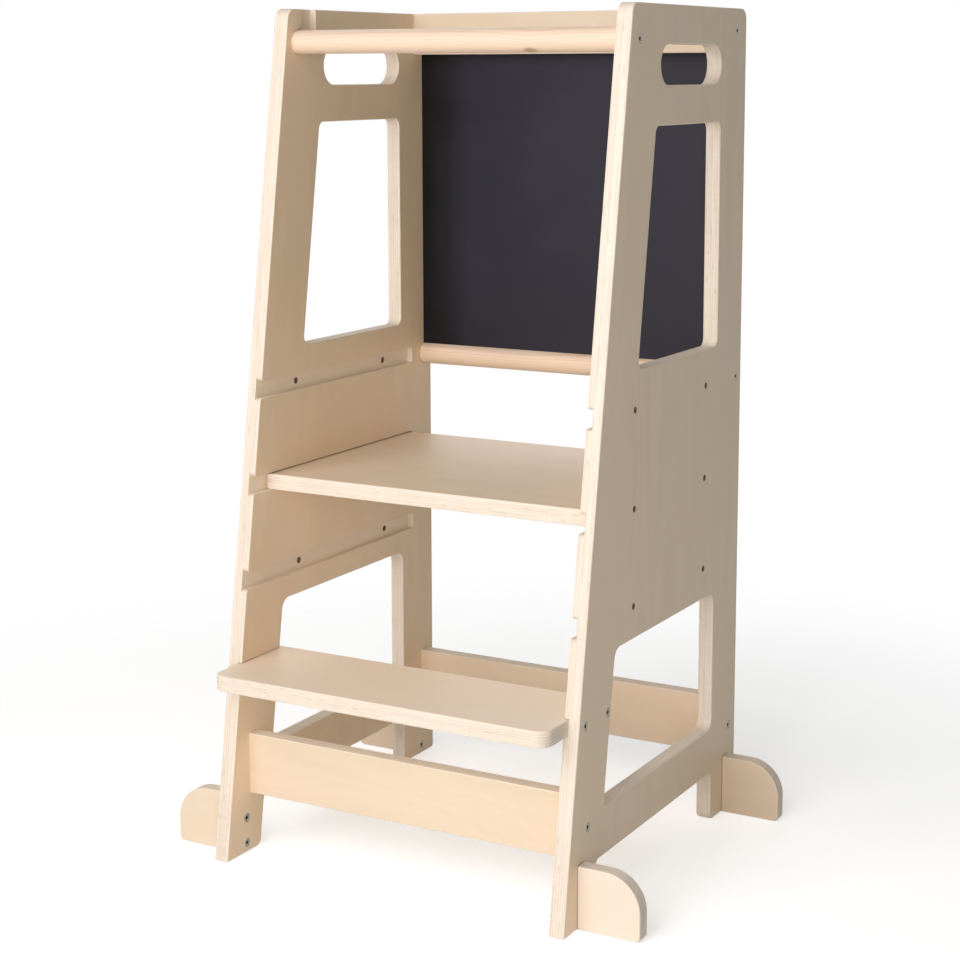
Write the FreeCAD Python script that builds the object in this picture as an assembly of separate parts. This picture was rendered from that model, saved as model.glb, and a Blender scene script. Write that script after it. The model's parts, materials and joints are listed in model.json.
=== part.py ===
"""A kitchen helper stool for a small child, in birch plywood, at its real size in millimetres.

Two upright side panels with a raked front edge carry everything else. Between them are a platform
that slides in routed grooves and can be set at three heights, a fixed front step, two lower boards,
a back rail, a chalkboard that stands in a grooved dowel, and a front safety rail that drops into
hooked slots. Four short feet stand out sideways from the legs.

Frame: X to the right, -Y to the front, where the child climbs up, and Z up. The origin is on the
floor, at the middle of the whole object's width and depth.
"""
import FreeCAD, Part
import math
import os
from FreeCAD import Vector

# ---- Overall ---------------------------------------------------------------------------------
overall_height = 900.0          # floor to the top of the side panels
inside_width = 385.0            # clear width between the side panels
board_thickness = 17.0          # sanded plywood, the same for every board
edge_round = 1.5                # eased edges of the boards
routed_depth = 7.0              # depth of the grooves and slots in the inner faces

# ---- Side panels; "from the rear" is measured forward from their upright rear edge --------------
panel_foot_depth = 432.0        # depth of a panel on the floor
panel_top_depth = 291.0         # depth of a panel at its top
panel_corner_radius = 12.0      # top corners
leg_corner_radius = 9.0         # corners of the legs beside the arch
heel_corner_radius = 4.5        # rear corner of the panels on the floor
rear_post_width = 69.0          # wood behind the handle, the windows and the arch
front_leg_width = 62.0          # wood in front of the arch
arch_height = 56.0
cross_bar_height = 51.0         # wood between the arch and the lower window
lower_window_front = 71.5       # wood in front of the lower window, measured level
lower_window_radius = 13.0
lower_window_toe_radius = 6.0   # its lower front corner
upper_window_front = 76.0       # wood in front of the upper window, measured level
upper_window_radius = 9.0
window_to_groove = 25.0         # wood between the lower window and the lowest groove
groove_to_window = 30.0         # wood between the highest groove and the upper window
upper_window_drop = 120.5       # top of the panel to the top of the upper window
handle_drop = 60.0              # top of the panel to the middle of the handle slot
handle_length = 155.0
handle_height = 41.0

# ---- Platform and the grooves for its three heights ----------------------------------------------
lowest_level = 297.5            # floor to the middle of the lowest groove
level_spacing = 101.0
level_count = 3
platform_level = 1              # the groove that holds the platform, counted from 0 at the lowest
groove_play_above = 1.3         # above the platform in its groove
groove_play_below = 0.2
platform_side_play = 0.5        # between each end of the platform and its groove's floor
platform_end_play = 1.2         # between the platform's rear edge and the grooves' ends
groove_rear_margin = 44.0       # wood behind the grooves' rear ends
groove_end_radius = 3.0
groove_mouth_radius = 5.0       # rounded lips where a groove opens in the front edge
platform_setback = 29.5         # front edge of the panels to the platform's front edge
platform_corner_radius = 3.0
level_hole_diameter = 6.5
level_hole_rear = 99.0          # rear edge of the panel to the rear hole of each level
level_hole_spacing = 179.0

# ---- Front step ------------------------------------------------------------------------------------
step_height = 211.0             # floor to the top of the step
step_depth = 125.0
step_overhang = 47.0            # in front of the panels' front edge
step_corner_radius = 15.0
step_housing_depth = 5.0        # how far each end of the step is let into its panel
step_end_play = 0.1             # between each end of the step and its housing's floor
step_play_above = 0.8           # above the step in its housing
step_play_below = 0.1
step_screw_spacing = 50.0
step_screw_rear = 14.5          # rear edge of the step to the nearer screw

# ---- Lower boards -----------------------------------------------------------------------------------
lower_board_bottom = 64.0
lower_board_height = 67.0
front_board_setback = 29.0      # front edge of the panels to the front board, at its middle height
rear_board_setback = 10.5       # rear edge of the panels to the rear board

# ---- Back rail, chalkboard and the dowel under it -----------------------------------------------------
back_rail_height = 47.0
back_rail_setback = 17.0        # rear edge of the panels to the back rail
chalkboard_thickness = 5.0
chalkboard_top_drop = 18.0      # top of the panels to the top of the chalkboard
chalkboard_play = 0.2           # between the chalkboard and each face that holds it
rear_dowel_diameter = 25.0
rear_dowel_drop = 401.5         # top of the panels to the dowel's axis
dowel_groove_depth = 6.5        # groove along the dowel for the chalkboard's lower edge

# ---- Front safety rail --------------------------------------------------------------------------------
front_rail_diameter = 25.0
front_rail_drop = 35.0          # top of the panels to the rail's axis
front_rail_setback = 22.0       # front edge of the panels to the rail's axis
rail_slot_play = 0.5            # round the rail in its slot
rail_end_play = 0.5             # between each end of the rail and its slot's floor
rail_slot_reach = 22.0          # from the rail's seat back to the upright part of the slot
rail_slot_rise = 8.5            # from the rail's seat up to the bend of the slot
dowel_end_chamfer = 1.0

# ---- Stabiliser feet ------------------------------------------------------------------------------------
foot_length = 68.0              # sideways from the outer face of the panel
foot_height = 65.0
foot_top_radius = 38.0
foot_bottom_radius = 5.0
front_foot_setback = 29.0       # front edge of the panels on the floor to the front foot
rear_foot_setback = 19.5        # rear edge of the panels to the rear foot
foot_screw_low = 10.0           # floor to the lower screw
foot_screw_spacing = 28.0

# ---- Connecting screws and wooden pins --------------------------------------------------------------------
screw_length = 50.0
screw_head_diameter = 10.4
screw_head_rim = 0.3            # straight rim of the head, above its cone
screw_shank_diameter = 7.0
screw_core_diameter = 5.6
screw_tip_length = 3.0
screw_tip_diameter = 1.9
screw_sink = 0.4                # head below the face of the board
screw_socket_width = 4.0        # across the flats of the hexagon
screw_socket_depth = 2.4
screw_hole_play = 0.1           # round the screw
pin_diameter = 8.0
pin_length = 30.0
pin_depth_in_panel = 9.0
pin_play = 0.1                  # round the pin, and at each of its ends
board_pin_spacing = 40.0        # between the two pins in each end of a lower board
rail_pin_spacing = 28.0         # between the two pins in each end of the back rail

# ---- For cutting and comparing ------------------------------------------------------------------------------
past_face = 1.0                 # how far a cutting tool starts outside the face it opens
same_place = 1e-6               # lengths closer than this are taken as equal

# ---- Places worked out from the sizes above ---------------------------------------------------------------
inner_x = inside_width / 2
outer_x = inner_x + board_thickness
front_slope = (panel_foot_depth - panel_top_depth) / overall_height
groove_height = board_thickness + groove_play_above + groove_play_below
level_heights = [lowest_level + level_spacing * level for level in range(level_count)]
step_middle = step_height - board_thickness / 2


def panel_front(height):
    """Distance from the rear edge of the panels to their front edge at a height."""
    return panel_foot_depth - front_slope * height


step_front = panel_front(step_height) + step_overhang
overall_depth = max(step_front, panel_foot_depth)


def y_at(from_rear):
    """Y of a point that lies so far forward of the panels' rear edge."""
    return overall_depth / 2 - from_rear


def front_y(height, behind=0.0):
    """Y of the panels' front edge at a height, or of a point so far behind it."""
    return y_at(panel_front(height) - behind)


lower_board_middle = lower_board_bottom + lower_board_height / 2
front_board_y = front_y(lower_board_middle, front_board_setback + board_thickness / 2)
rear_board_y = y_at(rear_board_setback + board_thickness / 2)
front_foot_y = front_y(0.0, front_foot_setback + board_thickness / 2)
rear_foot_y = y_at(rear_foot_setback + board_thickness / 2)

back_rail_y = y_at(back_rail_setback + board_thickness / 2)
back_rail_middle = overall_height - back_rail_height / 2
chalkboard_y = y_at(back_rail_setback - chalkboard_play - chalkboard_thickness / 2)
chalkboard_top = overall_height - chalkboard_top_drop
rear_dowel_z = overall_height - rear_dowel_drop
chalkboard_bottom = rear_dowel_z + rear_dowel_diameter / 2 - dowel_groove_depth + chalkboard_play

front_rail_z = overall_height - front_rail_drop
front_rail_y = front_y(front_rail_z, front_rail_setback)

platform_top = level_heights[platform_level] + groove_height / 2 - groove_play_above
platform_front_y = front_y(platform_top, platform_setback)
platform_rear_y = y_at(groove_rear_margin + platform_end_play)

step_front_y = y_at(step_front)
step_screw_ys = [step_front_y + step_depth - step_screw_rear - step_screw_spacing * row for row in range(2)]
foot_screw_heights = [foot_screw_low + foot_screw_spacing * row for row in range(2)]


# ---- Outlines and solids ------------------------------------------------------------------------------------
def rounded_wire(corners, place):
    """Closed wire through corners (u, v, radius); each corner is rounded by an arc that meets its sides.

    place turns a pair (u, v) into a point in space.
    """
    arcs = []
    for index, (u, v, radius) in enumerate(corners):
        corner = Vector(u, v, 0)
        before = Vector(*corners[index - 1][:2], 0) - corner
        after = Vector(*corners[(index + 1) % len(corners)][:2], 0) - corner
        before.normalize()
        after.normalize()
        half_angle = before.getAngle(after) / 2
        reach = radius / math.tan(half_angle)
        inward = before + after
        if radius > 0:
            inward.normalize()
        middle = corner + inward * (radius / math.sin(half_angle) - radius)
        arcs.append((corner + before * reach, middle, corner + after * reach))
    edges = []
    for index, (start, middle, end) in enumerate(arcs):
        if start.distanceToPoint(end) > same_place:
            edges.append(Part.Arc(place(start), place(middle), place(end)).toShape())
        following = arcs[(index + 1) % len(arcs)][0]
        if end.distanceToPoint(following) > same_place:
            edges.append(Part.LineSegment(place(end), place(following)).toShape())
    return Part.Wire(edges)


def side_plate(outline, x_from, thickness, holes=()):
    """Plate that lies parallel to the side panels, from an outline of (y, z, radius) corners."""
    def place(point):
        return Vector(x_from, point.x, point.y)
    wires = [rounded_wire(corners, place) for corners in (outline, *holes)]
    return Part.Face(wires, "Part::FaceMakerBullseye").extrude(Vector(thickness, 0, 0))


def level_plate(outline, z_from, thickness):
    """Plate that lies level, from an outline of (x, y, radius) corners."""
    def place(point):
        return Vector(point.x, point.y, z_from)
    return Part.Face(rounded_wire(outline, place)).extrude(Vector(0, 0, thickness))


def cross_plate(outline, y_from, thickness):
    """Plate that faces the front, from an outline of (x, z, radius) corners."""
    def place(point):
        return Vector(point.x, y_from, point.y)
    return Part.Face(rounded_wire(outline, place)).extrude(Vector(0, thickness, 0))


def eased(solid, keep_edge):
    """The solid with the edges that keep_edge picks rounded like sanded plywood."""
    edges = [edge for edge in solid.Edges if keep_edge(edge.BoundBox)]
    return solid.makeFillet(edge_round, edges)


def lies_in(low, high, plane):
    """True where an edge's span, low to high, lies in the plane."""
    return abs(low - plane) < same_place and abs(high - plane) < same_place


def mirrored(shape):
    """The same shape on the other side of the stool."""
    return shape.mirror(Vector(0, 0, 0), Vector(1, 0, 0))


def both_sides(shapes):
    """Shapes on the left and their mirrored copies on the right, as one group."""
    return Part.makeCompound(list(shapes) + [mirrored(shape) for shape in shapes])


def bored(solid, cutters):
    """The solid with every cutter taken out of it."""
    return solid.cut(Part.makeCompound(cutters))


# ---- Screws and pins ------------------------------------------------------------------------------------------
def screw_body(grow, top):
    """Solid of revolution of a screw that points along +X, with its head's rim at X = 0.

    grow widens it all round, and top lifts the top of its head, to make the hole it sits in.
    """
    head = screw_head_diameter / 2 + grow
    shank = screw_shank_diameter / 2 + grow
    core = screw_core_diameter / 2 + grow
    length = screw_length + grow
    shank_end = board_thickness - screw_sink
    outline = [
        Vector(-top, 0, 0),
        Vector(-top, 0, head),
        Vector(screw_head_rim, 0, head),
        Vector(screw_head_rim + head - shank, 0, shank),
        Vector(shank_end, 0, shank),
        Vector(shank_end, 0, core),
        Vector(length - screw_tip_length, 0, core),
        Vector(length, 0, screw_tip_diameter / 2),
        Vector(length, 0, 0),
    ]
    outline.append(outline[0])
    return Part.Face(Part.makePolygon(outline)).revolve(Vector(0, 0, 0), Vector(1, 0, 0), 360)


def socket_tool():
    """Hexagonal prism that leaves the key socket in a screw's head."""
    radius = screw_socket_width / math.sqrt(3)
    turns = [math.radians(60 * side) for side in range(7)]
    points = [Vector(-past_face, radius * math.cos(turn), radius * math.sin(turn)) for turn in turns]
    return Part.Face(Part.makePolygon(points)).extrude(Vector(past_face + screw_socket_depth, 0, 0))


screw = screw_body(0.0, 0.0).cut(socket_tool())
screw_hole = screw_body(screw_hole_play, screw_sink + past_face)


def set_screw(shape, x_face, y, z, outward=False):
    """A copy of the screw, or of its hole, whose head is sunk in the board face at x_face on the left.

    outward points it away from the middle of the stool, as the screws of the feet do.
    """
    copy = shape.copy()
    if outward:
        copy.rotate(Vector(0, 0, 0), Vector(0, 0, 1), 180)
    sink = -screw_sink if outward else screw_sink
    copy.translate(Vector(x_face + sink, y, z))
    return copy


rail_screw_place = [(front_rail_y, front_rail_z)]
back_rail_screw_place = [(back_rail_y, back_rail_middle)]
dowel_screw_place = [(chalkboard_y, rear_dowel_z)]
step_screw_places = [(y, step_middle) for y in step_screw_ys]
front_board_screw_place = [(front_board_y, lower_board_middle)]
rear_board_screw_place = [(rear_board_y, lower_board_middle)]
front_foot_screw_places = [(front_foot_y, z) for z in foot_screw_heights]
rear_foot_screw_places = [(rear_foot_y, z) for z in foot_screw_heights]


def left_screws(shape, places, outward=False):
    """Screws or screw holes of the left panel at the places (y, z)."""
    x_face = -inner_x if outward else -outer_x
    return [set_screw(shape, x_face, y, z, outward) for y, z in places]


def left_pins(y, z_middle, spacing, grow):
    """The two wooden pins, or their holes, in the left end of a board."""
    start = -inner_x - pin_depth_in_panel - grow
    length = pin_length + 2 * grow
    heights = [z_middle - spacing / 2, z_middle + spacing / 2]
    along_x = Vector(1, 0, 0)
    return [Part.makeCylinder(pin_diameter / 2 + grow, length, Vector(start, y, z), along_x) for z in heights]


pin_rows = {
    "front_board_pins": (front_board_y, lower_board_middle, board_pin_spacing),
    "rear_board_pins": (rear_board_y, lower_board_middle, board_pin_spacing),
    "back_rail_pins": (back_rail_y, back_rail_middle, rail_pin_spacing),
}


# ---- Side panels ------------------------------------------------------------------------------------------------
def panel_outline():
    """Outer edge of a panel: upright at the rear, raked at the front, with an arch between its legs."""
    arch_rear = y_at(rear_post_width)
    foot_inside = front_y(0.0, front_leg_width)
    arch_front = front_y(arch_height, front_leg_width)
    return [
        (y_at(0.0), 0.0, heel_corner_radius),
        (y_at(0.0), overall_height, panel_corner_radius),
        (front_y(overall_height), overall_height, panel_corner_radius),
        (front_y(0.0), 0.0, edge_round),
        (foot_inside, 0.0, leg_corner_radius),
        (arch_front, arch_height, leg_corner_radius),
        (arch_rear, arch_height, leg_corner_radius),
        (arch_rear, 0.0, leg_corner_radius),
    ]


def window(bottom, top, front_wood, radius, toe_radius):
    """Window with an upright rear edge and a front edge parallel to the panel's.

    toe_radius rounds its lower front corner, and radius the others.
    """
    rear = y_at(rear_post_width)
    return [
        (rear, bottom, radius),
        (rear, top, radius),
        (front_y(top, front_wood), top, radius),
        (front_y(bottom, front_wood), bottom, toe_radius),
    ]


lower_window_bottom = arch_height + cross_bar_height
lower_window_top = level_heights[0] - groove_height / 2 - window_to_groove
upper_window_bottom = level_heights[-1] + groove_height / 2 + groove_to_window
upper_window_top = overall_height - upper_window_drop
handle_z = overall_height - handle_drop


def handle_outline():
    """Hand hole with round ends."""
    rear = y_at(rear_post_width)
    front = rear - handle_length
    low = handle_z - handle_height / 2
    high = handle_z + handle_height / 2
    radius = handle_height / 2
    return [(rear, low, radius), (rear, high, radius), (front, high, radius), (front, low, radius)]


def groove_tool(middle):
    """Groove for the platform: a rounded rear end, and lips that curve into the front edge."""
    low = middle - groove_height / 2
    high = middle + groove_height / 2
    rear = y_at(groove_rear_margin)
    rake = math.atan(front_slope)
    upper_reach = groove_mouth_radius / math.tan((math.pi / 2 + rake) / 2)
    lower_reach = groove_mouth_radius / math.tan((math.pi / 2 - rake) / 2)
    lip_top = high + upper_reach * math.cos(rake)
    lip_bottom = low - lower_reach * math.cos(rake)
    outside = front_y(lip_bottom) - groove_mouth_radius
    outline = [
        (rear, low, groove_end_radius),
        (rear, high, groove_end_radius),
        (front_y(high), high, groove_mouth_radius),
        (front_y(lip_top), lip_top, 0.0),
        (outside, lip_top, 0.0),
        (outside, lip_bottom, 0.0),
        (front_y(lip_bottom), lip_bottom, 0.0),
        (front_y(low), low, groove_mouth_radius),
    ]
    return side_plate(outline, -inner_x - routed_depth, 2 * routed_depth)


def step_housing_tool():
    """Housing for one end of the step, from the front edge of the leg through to the lower window."""
    low = step_height - board_thickness - step_play_below
    height = board_thickness + step_play_below + step_play_above
    corner = Vector(-inner_x - step_housing_depth, step_front_y, low)
    return Part.makeBox(2 * step_housing_depth, step_depth, height, corner)


def slot_run(start, end):
    """Straight run of the rail slot between two places (y, z), with round ends."""
    radius = front_rail_diameter / 2 + rail_slot_play
    run = Vector(0, end[0] - start[0], end[1] - start[1])
    sideways = Vector(1, 0, 0).cross(run)
    sideways.normalize()
    floor = -inner_x - routed_depth
    first = Vector(floor, *start)
    corners = [first + sideways * radius, first - sideways * radius]
    corners += [corner + run for corner in reversed(corners)]
    bar = Part.Face(Part.makePolygon(corners + corners[:1])).extrude(Vector(2 * routed_depth, 0, 0))
    for place in (start, end):
        bar = bar.fuse(Part.makeCylinder(radius, 2 * routed_depth, Vector(floor, *place), Vector(1, 0, 0)))
    return bar.removeSplitter()


def rail_slot_tool():
    """Hooked slot: down from the top edge, then forward and down to the rail's seat."""
    seat = (front_rail_y, front_rail_z)
    bend = (front_rail_y + rail_slot_reach, front_rail_z + rail_slot_rise)
    mouth = (bend[0], overall_height + front_rail_diameter)
    return slot_run(seat, bend).fuse(slot_run(bend, mouth))


def chalkboard_groove_tool():
    """Stopped upright groove in the inner face for one side edge of the chalkboard."""
    half_width = chalkboard_thickness / 2 + chalkboard_play
    top = chalkboard_top + chalkboard_play
    corner = Vector(-inner_x - routed_depth, chalkboard_y - half_width, rear_dowel_z)
    return Part.makeBox(2 * routed_depth, 2 * half_width, top - rear_dowel_z, corner)


def level_holes(middle):
    """The two plain holes through the panel at one height of the platform."""
    places = [y_at(level_hole_rear), y_at(level_hole_rear + level_hole_spacing)]
    start = -outer_x - past_face
    length = board_thickness + 2 * past_face
    along_x = Vector(1, 0, 0)
    return [Part.makeCylinder(level_hole_diameter / 2, length, Vector(start, y, middle), along_x) for y in places]


def left_side_panel():
    windows = [
        handle_outline(),
        window(upper_window_bottom, upper_window_top, upper_window_front, upper_window_radius, upper_window_radius),
        window(lower_window_bottom, lower_window_top, lower_window_front, lower_window_radius, lower_window_toe_radius),
    ]
    panel = side_plate(panel_outline(), -outer_x, board_thickness, windows)
    panel = eased(panel, lambda box: lies_in(box.XMin, box.XMax, -outer_x) or lies_in(box.XMin, box.XMax, -inner_x))
    cutters = [groove_tool(middle) for middle in level_heights]
    cutters += [step_housing_tool(), rail_slot_tool(), chalkboard_groove_tool()]
    for middle in level_heights:
        cutters += level_holes(middle)
    inward_places = rail_screw_place + back_rail_screw_place + dowel_screw_place + step_screw_places
    inward_places += front_board_screw_place + rear_board_screw_place
    cutters += left_screws(screw_hole, inward_places)
    cutters += left_screws(screw_hole, front_foot_screw_places + rear_foot_screw_places, outward=True)
    for row in pin_rows.values():
        cutters += left_pins(*row, pin_play)
    for cutter in cutters:
        panel = panel.cut(cutter)
    return panel


# ---- Boards between the panels --------------------------------------------------------------------------------------
def platform():
    """Standing platform; its ends run in the grooves of the panels."""
    half_width = inner_x + routed_depth - platform_side_play
    outline = [
        (-half_width, platform_front_y, platform_corner_radius),
        (half_width, platform_front_y, platform_corner_radius),
        (half_width, platform_rear_y, platform_corner_radius),
        (-half_width, platform_rear_y, platform_corner_radius),
    ]
    bottom = platform_top - board_thickness
    board = level_plate(outline, bottom, board_thickness)
    return eased(board, lambda box: lies_in(box.ZMin, box.ZMax, bottom) or lies_in(box.ZMin, box.ZMax, platform_top))


def front_step():
    """Step let into the legs at its ends, with its rounded front corners ahead of them."""
    half_width = inner_x + step_housing_depth - step_end_play
    rear_y = step_front_y + step_depth
    outline = [
        (-half_width, step_front_y, step_corner_radius),
        (half_width, step_front_y, step_corner_radius),
        (half_width, rear_y, 0.0),
        (-half_width, rear_y, 0.0),
    ]
    bottom = step_height - board_thickness
    board = level_plate(outline, bottom, board_thickness)
    board = eased(board, lambda box: lies_in(box.ZMin, box.ZMax, bottom) or lies_in(box.ZMin, box.ZMax, step_height))
    holes = left_screws(screw_hole, step_screw_places)
    return bored(board, holes + [mirrored(hole) for hole in holes])


def upright_board(y_middle, bottom, height, screw_places, pin_row):
    """Board on edge between the panels, with its long edges eased and its ends bored."""
    corner = Vector(-inner_x, y_middle - board_thickness / 2, bottom)
    board = Part.makeBox(inside_width, board_thickness, height, corner)
    board = eased(board, lambda box: box.XLength > inside_width / 2)
    holes = left_screws(screw_hole, screw_places) + left_pins(*pin_row, pin_play)
    return bored(board, holes + [mirrored(hole) for hole in holes])


def chalkboard():
    """Thin painted board in the grooves of the panels and of the dowel below."""
    half_width = inner_x + routed_depth - chalkboard_play
    corner = Vector(-half_width, chalkboard_y - chalkboard_thickness / 2, chalkboard_bottom)
    return Part.makeBox(2 * half_width, chalkboard_thickness, chalkboard_top - chalkboard_bottom, corner)


# ---- Round rails ----------------------------------------------------------------------------------------------------
def round_rail(diameter, half_length, y, z):
    """Dowel along X with its end edges chamfered."""
    rail = Part.makeCylinder(diameter / 2, 2 * half_length, Vector(-half_length, y, z), Vector(1, 0, 0))
    ends = [edge for edge in rail.Edges if lies_in(edge.BoundBox.XMin, edge.BoundBox.XMax, edge.BoundBox.XMin)]
    return rail.makeChamfer(dowel_end_chamfer, ends)


def front_rail():
    """Safety rail that drops into the hooked slots of the panels."""
    half_length = inner_x + routed_depth - rail_end_play
    holes = left_screws(screw_hole, rail_screw_place)
    rail = round_rail(front_rail_diameter, half_length, front_rail_y, front_rail_z)
    return bored(rail, holes + [mirrored(hole) for hole in holes])


def rear_dowel():
    """Dowel between the panels with a groove along its top for the chalkboard."""
    rail = round_rail(rear_dowel_diameter, inner_x, chalkboard_y, rear_dowel_z)
    half_width = chalkboard_thickness / 2 + chalkboard_play
    groove_floor = rear_dowel_z + rear_dowel_diameter / 2 - dowel_groove_depth
    corner = Vector(-outer_x, chalkboard_y - half_width, groove_floor)
    groove = Part.makeBox(2 * outer_x, 2 * half_width, rear_dowel_diameter, corner)
    holes = left_screws(screw_hole, dowel_screw_place)
    return bored(rail, [groove] + holes + [mirrored(hole) for hole in holes])


# ---- Feet -----------------------------------------------------------------------------------------------------------
def left_foot(y_middle, screw_places):
    """Foot that stands out sideways from a left leg, with one large round corner."""
    outline = [
        (-outer_x, 0.0, 0.0),
        (-outer_x, foot_height, 0.0),
        (-outer_x - foot_length, foot_height, foot_top_radius),
        (-outer_x - foot_length, 0.0, foot_bottom_radius),
    ]
    front = y_middle - board_thickness / 2
    rear = y_middle + board_thickness / 2
    foot = cross_plate(outline, front, board_thickness)

    def on_a_face(box):
        on_face = lies_in(box.YMin, box.YMax, front) or lies_in(box.YMin, box.YMax, rear)
        return on_face and not lies_in(box.XMin, box.XMax, -outer_x)
    foot = eased(foot, on_a_face)
    return bored(foot, left_screws(screw_hole, screw_places, outward=True))


# ---- Every piece by its name ------------------------------------------------------------------------------------------
def build_pieces():
    left_panel = left_side_panel()
    left_front_foot = left_foot(front_foot_y, front_foot_screw_places)
    left_rear_foot = left_foot(rear_foot_y, rear_foot_screw_places)
    pieces = {
        "left_side_panel": left_panel,
        "right_side_panel": mirrored(left_panel),
        "platform": platform(),
        "front_step": front_step(),
        "front_lower_board": upright_board(
            front_board_y, lower_board_bottom, lower_board_height,
            front_board_screw_place, pin_rows["front_board_pins"]),
        "rear_lower_board": upright_board(
            rear_board_y, lower_board_bottom, lower_board_height,
            rear_board_screw_place, pin_rows["rear_board_pins"]),
        "back_rail": upright_board(
            back_rail_y, overall_height - back_rail_height, back_rail_height,
            back_rail_screw_place, pin_rows["back_rail_pins"]),
        "front_rail": front_rail(),
        "chalkboard": chalkboard(),
        "chalkboard_dowel": rear_dowel(),
        "left_front_foot": left_front_foot,
        "right_front_foot": mirrored(left_front_foot),
        "left_rear_foot": left_rear_foot,
        "right_rear_foot": mirrored(left_rear_foot),
        "front_rail_screws": both_sides(left_screws(screw, rail_screw_place)),
        "back_rail_screws": both_sides(left_screws(screw, back_rail_screw_place)),
        "chalkboard_dowel_screws": both_sides(left_screws(screw, dowel_screw_place)),
        "step_screws": both_sides(left_screws(screw, step_screw_places)),
        "front_board_screws": both_sides(left_screws(screw, front_board_screw_place)),
        "rear_board_screws": both_sides(left_screws(screw, rear_board_screw_place)),
        "front_foot_screws": both_sides(left_screws(screw, front_foot_screw_places, outward=True)),
        "rear_foot_screws": both_sides(left_screws(screw, rear_foot_screw_places, outward=True)),
    }
    for name, row in pin_rows.items():
        pieces[name] = both_sides(left_pins(*row, 0.0))
    return pieces


os.makedirs("parts", exist_ok=True)
for name, shape in build_pieces().items():
    shape.exportStep(f"parts/{name}.step")
    print(f"{name}: {len(shape.Solids)} solid(s), {shape.Volume / 1000:.1f} cm3, valid {shape.isValid()}")
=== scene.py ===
"""Looks of a small child's kitchen helper stool, built round its CAD frame.

Laid out as a Blender add-on: the sizes and colours that a user may change are properties of the
scene, each piece or group of like pieces has its operator, and a panel in the 3D view's sidebar
lists them. Run as a script, it finishes the boards, dowels and chalkboard that come from the CAD
frame, builds the screws and the locating pins with their threads and flutes, and sets the stage.

Units are metres. X is to the right, -Y to the front, Z up, and the floor is at Z = 0.
"""

import json
import math
import random

import bmesh
import bpy
from bpy.props import FloatProperty, FloatVectorProperty, IntProperty, PointerProperty
from bpy.types import NodeSocket, Operator, Panel, PropertyGroup
from mathutils import Matrix, Vector


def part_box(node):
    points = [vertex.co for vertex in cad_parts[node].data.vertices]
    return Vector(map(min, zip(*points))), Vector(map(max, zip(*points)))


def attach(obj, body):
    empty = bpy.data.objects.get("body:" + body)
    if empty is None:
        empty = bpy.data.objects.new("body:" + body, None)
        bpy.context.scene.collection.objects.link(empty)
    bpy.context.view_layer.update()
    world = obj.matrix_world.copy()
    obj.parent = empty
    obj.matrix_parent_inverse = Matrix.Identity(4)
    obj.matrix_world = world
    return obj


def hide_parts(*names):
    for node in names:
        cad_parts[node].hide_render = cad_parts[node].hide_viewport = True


bl_info = {
    "name": "Kitchen helper stool",
    "version": (1, 0, 0),
    "blender": (4, 5, 0),
    "location": "3D View > Sidebar > Stool",
    "description": "Finishes the wooden stool round its CAD frame and sets its stage",
    "category": "Object",
}

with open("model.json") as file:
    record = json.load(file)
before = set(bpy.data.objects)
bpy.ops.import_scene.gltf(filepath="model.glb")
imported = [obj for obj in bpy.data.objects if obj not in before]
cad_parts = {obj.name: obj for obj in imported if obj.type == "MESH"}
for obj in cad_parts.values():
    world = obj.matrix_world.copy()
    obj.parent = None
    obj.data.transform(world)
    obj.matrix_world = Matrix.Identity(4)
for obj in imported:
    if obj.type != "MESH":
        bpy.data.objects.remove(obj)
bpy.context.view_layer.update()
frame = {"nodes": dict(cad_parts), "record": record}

AXES = {"X": Vector((1, 0, 0)), "Y": Vector((0, 1, 0)), "Z": Vector((0, 0, 1))}

# Every plywood piece: the axis through its thickness, the axis of its face grain, its tone, and how
# pale its veneer is.
BOARDS = {
    "left_side_panel": ("X", "Z", 1.08, -0.12),
    "right_side_panel": ("X", "Z", 1.04, 0.05),
    "platform": ("Z", "X", 1.03, 0.1),
    "front_step": ("Z", "X", 1.10, 0.38),
    "front_lower_board": ("Y", "X", 1.0, 0.12),
    "rear_lower_board": ("Y", "X", 1.02, 0.1),
    "back_rail": ("Y", "X", 0.89, 0.1),
    "left_front_foot": ("Y", "X", 1.0, 0.2),
    # Painted highlight: the right front foot's veneer is made much paler to stand in for the washed-out
    # bright light on it.
    "right_front_foot": ("Y", "X", 1.0, 0.55),
    "left_rear_foot": ("Y", "X", 1.0, 0.1),
    "right_rear_foot": ("Y", "X", 0.90, 0.0),
}
# Each dowel and the seed of its grain.
DOWELS = {"front_rail": 3.0, "chalkboard_dowel": 11.0}
SCREW_NODES = [
    "front_rail_screws", "back_rail_screws", "chalkboard_dowel_screws", "step_screws",
    "front_board_screws", "rear_board_screws", "front_foot_screws", "rear_foot_screws",
]
PIN_NODES = ["front_board_pins", "rear_board_pins", "back_rail_pins"]

BARE_BELOW = (0.0018, 0.0025)  # depths under a board's face between which its inner layer shows
SEAM_SHADE_FADES = (0.0004, 0.0014)  # distances from a foot's end over which the painted shade line at its leg fades
REFLECTION_STRIP_FADE = 0.02  # half the width over which the chalkboard's painted reflection, a darker strip at its left end, ends
TREE_CENTRE = Vector((0.0, 0.018, -0.035))  # centre of the growth rings, from a dowel's middle
BOARD_RELIEF = 0.00012  # how deep the grain goes, in metres
DOWEL_RELIEF = 0.00010
PAINT_RELIEF = 0.00006
PIN_RELIEF = 0.0001
SEED_STEP = 3.17  # between the grain patterns of two boards
SCREW_SEED = 7  # for the turn of each screw's socket
SCREWS_APART = 1.25  # points further apart than this many heads lie on different screws
PINS_APART = 0.012  # points further apart than this, in metres, lie on different pins
SHARP_STEEL = math.radians(38)  # folds of the screws above this stay sharp
SHARP_WOOD = math.radians(50)  # folds of the pins above this stay sharp
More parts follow.
